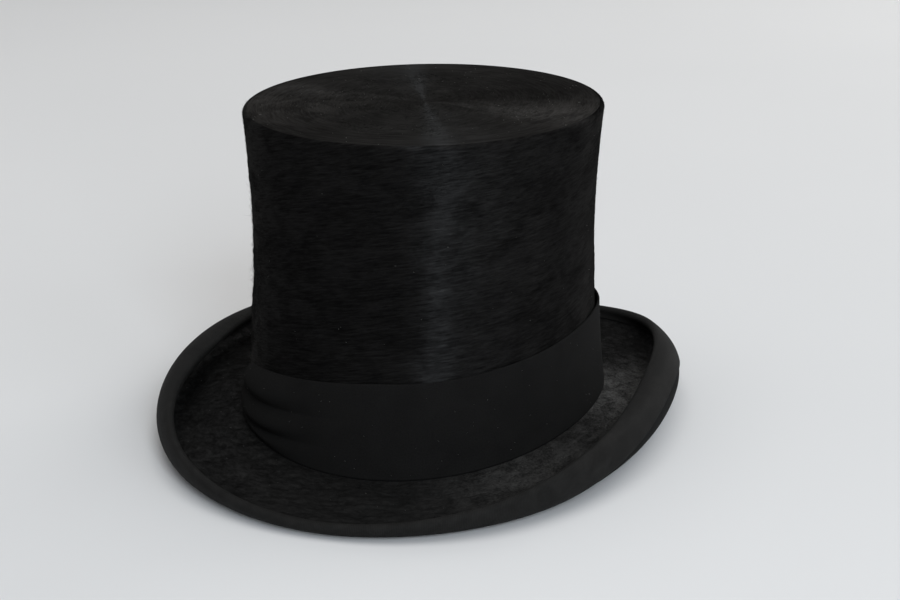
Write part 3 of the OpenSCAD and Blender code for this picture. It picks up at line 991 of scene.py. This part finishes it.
def spikes(name, base, tip, width, material, slot, ruffle_and_sheen=None):
    """Fine closed hairs: three-sided spikes from base to tip, (n, 3) in millimetres."""
    way = tip - base
    length = np.linalg.norm(way, axis=1, keepdims=True)
    side = np.cross(way, [0.31, 0.17, 0.93])
    side /= np.linalg.norm(side, axis=1, keepdims=True)
    up = np.cross(side, way / length)
    corners = [base + width * (math.cos(a) * side + math.sin(a) * up) for a in (0.0, 2.1, 4.2)]
    points = np.stack([*corners, tip], axis=1)
    start = np.arange(len(base))[:, None] * 4
    faces = np.concatenate([start + [0, 1, 3], start + [1, 2, 3], start + [2, 0, 3], start + [2, 1, 0]])
    obj = finish_piece(make_object(name, points, [faces], points * MM), material, slot)
    if ruffle_and_sheen is not None:
        mark(obj, "ruffle_and_sheen", np.repeat(ruffle_and_sheen, 4))
    return obj


def side_hairs(rng, count):
    """Angles, heights, bases and tips of hairs that lie along the crown, rising a little."""
    t = rng.uniform(-180, 180, count)
    z = rng.uniform(foot(t) + 36, HAT_H - 1.5)
    length = rng.uniform(1.6, 3.4, count)
    ruffle_and_sheen = near(t, 203, 22) * ease((z - 20) / 30)
    lean = np.radians(10 + rng.normal(0, 9 + 40 * ruffle_and_sheen) + 8 * ripple(place(t, 90.0, z), 40.0, 72))
    lift = rng.gamma(1.6, 0.09 + 0.22 * ruffle_and_sheen * rng.uniform(0, 1, count)) + 0.05
    r = crown_r(t, z) - LEAST
    t1 = t + np.degrees(length * np.cos(lean) / r)
    z1 = np.minimum(z + length * np.sin(lean), HAT_H + 0.3)
    return t, z, place(t, r, z), place(t1, crown_r(t1, z1) + lift, z1)


def side_tufts(rng, count):
    """The same for short tufts that stand up where the nap is tangled."""
    t = 198 + rng.normal(0, 7, count)
    z = np.clip(74 + rng.normal(0, 22, count), 22, HAT_H - 6)
    tangle = rng.normal(0, 1, (2, count))
    tip_r = crown_r(t, z) + rng.gamma(1.5, 0.55, count)
    return t, z, place(t, crown_r(t, z) - LEAST, z), place(t + 1.6 * tangle[0], tip_r, z + 2.0 * tangle[1])


def side_nap():
    """Hairs and tufts on the crown, standing off it at its edges."""
    rng = np.random.default_rng(71)
    hairs, tufts = side_hairs(rng, 36000), side_tufts(rng, 1800)
    t, z, base, tip = [np.concatenate(pair) for pair in zip(hairs, tufts)]
    return spikes("plush_side_nap", base, tip, HAIR, SIDE_PLUSH, "silk_plush", side_ruffle_and_sheen(t, z))


def tip_nap():
    """Hairs of the tip's swirl."""
    rng = np.random.default_rng(73)
    n = 18000
    t = rng.uniform(-180, 180, n)
    r = (crown_r(t, HAT_H) - SHOULDER) * np.sqrt(rng.uniform(0.0004, 1, n))
    length = rng.uniform(1.2, 2.6, n) * np.minimum(1, r / 12 + 0.2)
    out = rng.normal(0.12, 0.2, n)
    step = np.degrees(length / np.maximum(r, 2.0))
    z = HAT_H - 0.5
    tip = place(t + step, r + length * out, z + 0.25 + rng.gamma(1.5, 0.1, n))
    base = place(t, r, z - LEAST)
    return spikes("plush_tip_nap", base, tip, HAIR, TIP_PLUSH_PAINTED_LIGHT, "silk_plush", tip_ruffle_and_sheen(t, r))


def brim_nap():
    """Rougher hairs on the brim."""
    rng = np.random.default_rng(75)
    n = 26000
    t = rng.uniform(-180, 180, n)
    d = mix(RIBBON_TOP + 0.5, sum(brim_run(t)) - 1.5, rng.uniform(0, 1, n))
    length = rng.uniform(1.0, 2.4, n)
    swirl = 70 * ripple(place(t, 100.0, d), 26.0, 76) + rng.normal(0, 16, n)
    r, z = raised(brim_mid(t, d), PLUSH_TOP - LEAST)
    t1 = t + np.degrees(length * cos(swirl) / r)
    r1, z1 = raised(brim_mid(t1, d - length * sin(swirl)), PLUSH_TOP + 0.12 + rng.gamma(1.6, 0.12, n))
    return spikes("plush_brim_nap", place(t, r, z), place(t1, r1, z1), HAIR, BRIM_PLUSH, "silk_plush",
                  brim_ruffle_and_sheen(t, d))


def lint():
    """Pale dust and fluff caught on the cloth."""
    rng = np.random.default_rng(77)
    n = 160
    t = rng.uniform(-180, 180, n)
    d = mix(1.0, sum(brim_run(t)) - 2.0, rng.uniform(0, 1, n))
    on_brim = place(t, *raised(brim_mid(t, d), PLUSH_TOP + 0.35))
    t = rng.uniform(-180, 180, n)[:, None]
    s = rng.uniform(0.05, 0.95, n)[:, None]
    on_band = place(t, *band_shape(t, s, 0.05))[:, 0]
    t = rng.uniform(-180, 180, n)
    z = rng.uniform(foot(t) + 45, HAT_H - 4)
    on_side = place(t, crown_r(t, z) + 0.3, z)[::2]
    r = (crown_r(t, HAT_H) - SHOULDER) * np.sqrt(rng.uniform(0, 1, n))
    on_tip = place(t, r, HAT_H + LEAST)
    base = np.concatenate([on_brim, on_band, on_side, on_tip])
    size = 0.2 + rng.gamma(1.2, 0.2, len(base))
    way = rng.normal(size=base.shape) * [1, 1, 0.25]
    way *= (size / np.linalg.norm(way, axis=1))[:, None]
    return spikes("lint_specks", base, base + way, 0.07, LINT, None)


def build():
    for piece in (side_cover, tip_cover, brim_cover, under_cover, binding, binding_lap, cloth_band, band_lap,
                  sweatband, lining, tip_lining, reed, stitches, bow, side_nap, tip_nap, brim_nap, lint):
        piece()
    shells = {"crown_side_shell": CALICO, "crown_tip_shell": CALICO, "brim_shell": CALICO,
              "tip_joint_tape": TAPE, "robin_strip": TAPE}
    for node, material in shells.items():
        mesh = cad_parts[node].data
        for i in range(len(mesh.materials)):
            mesh.materials[i] = material


build()

# -------- floor, light and camera

def sweep():
    """Pale floor that curves up far behind the hat."""
    look = Look("pale_sweep")
    tone = look.noise(look.object_vector(), 1.2, detail=3.0, rough=0.5)
    bsdf = look.principled(roughness=0.9, specular=0.1)
    pale = look.ramp(tone, (0.3, (0.725, 0.728, 0.732)), (0.7, (0.755, 0.757, 0.76)))
    look.link(pale, bsdf.inputs["Base Color"])
    half, back, radius, height = 6.0, 3.0, 1.5, 6.0  # metres
    line = [(-half, 0.0), (back, 0.0)]
    line += [(back + radius * math.sin(a), radius * (1 - math.cos(a)))
             for a in np.linspace(0, math.pi / 2, 16)[1:]]
    line += [(back + radius, height)]
    points = [(x, y, z) for x in (-half, half) for y, z in line]
    n = len(line)
    faces = [(i, i + n, i + n + 1, i + 1) for i in range(n - 1)]
    obj = make_object("floor_sweep", np.array(points) / MM, [np.array(faces)])
    obj.data.materials.append(look.material)


def area_light(name, azimuth, elevation, distance, size, power, colour):
    """A soft light that faces the hat. Azimuth is from the front to the wearer's left. In metres and watts."""
    a, e = math.radians(azimuth), math.radians(elevation)
    way = Vector((math.sin(a) * math.cos(e), -math.cos(a) * math.cos(e), math.sin(e)))
    data = bpy.data.lights.new(name, "AREA")
    data.shape = "RECTANGLE"
    data.size, data.size_y = size
    data.energy = power
    data.color = colour
    obj = bpy.data.objects.new(name, data)
    hat_middle = Vector((0, 0, 0.08))
    obj.location = hat_middle + way * distance
    obj.rotation_euler = (-way).to_track_quat("-Z", "Y").to_euler()
    bpy.context.scene.collection.objects.link(obj)


def lights():
    world = bpy.data.worlds.new("studio")
    world.use_nodes = True
    sky = world.node_tree.nodes["Background"].inputs
    sky["Color"].default_value = (0.97, 0.98, 1.0, 1)
    sky["Strength"].default_value = 0.30
    bpy.context.scene.world = world
    area_light("overhead", 170, 84, 4.0, (5.0, 5.0), 92, (1.0, 0.985, 0.96))
    area_light("front_window", 31, 26, 2.6, (0.7, 1.6), 31, (0.84, 0.92, 1.0))
    area_light("side_window", 60, 26, 2.8, (1.1, 1.6), 10, (0.9, 0.95, 1.0))
    area_light("right_wall", 95, 22, 3.0, (2.0, 1.6), 3, (0.97, 0.98, 1.0))
    area_light("back_right", 150, 24, 2.4, (1.2, 0.8), 10, (1.0, 0.99, 0.97))


def camera():
    """The viewing angle: azimuth from the front towards the wearer's left, then elevation and roll."""
    azimuth, elevation, roll = math.radians(14.95), math.radians(18.3), math.radians(-0.04)
    distance, aim_side, aim_height, lens = 0.85, 0.0117, 0.0538, 70.16
    back = Vector((math.sin(azimuth) * math.cos(elevation), -math.cos(azimuth) * math.cos(elevation),
                   math.sin(elevation)))
    right = Vector((math.cos(azimuth), math.sin(azimuth), 0))
    up = back.cross(right)
    aim = Vector((0, 0, aim_height)) + right * aim_side
    data = bpy.data.cameras.new("camera")
    data.lens, data.sensor_width = lens, 36.0
    obj = bpy.data.objects.new("camera", data)
    across = right * math.cos(roll) + up * math.sin(roll)
    upward = up * math.cos(roll) - right * math.sin(roll)
    obj.matrix_world = Matrix.Translation(aim + back * distance) @ Matrix(
        (across, upward, back)).transposed().to_4x4()
    bpy.context.scene.collection.objects.link(obj)
    bpy.context.scene.camera = obj


sweep()
lights()
camera()
bpy.context.scene.view_settings.view_transform = "Standard"

bpy.context.view_layer.update()
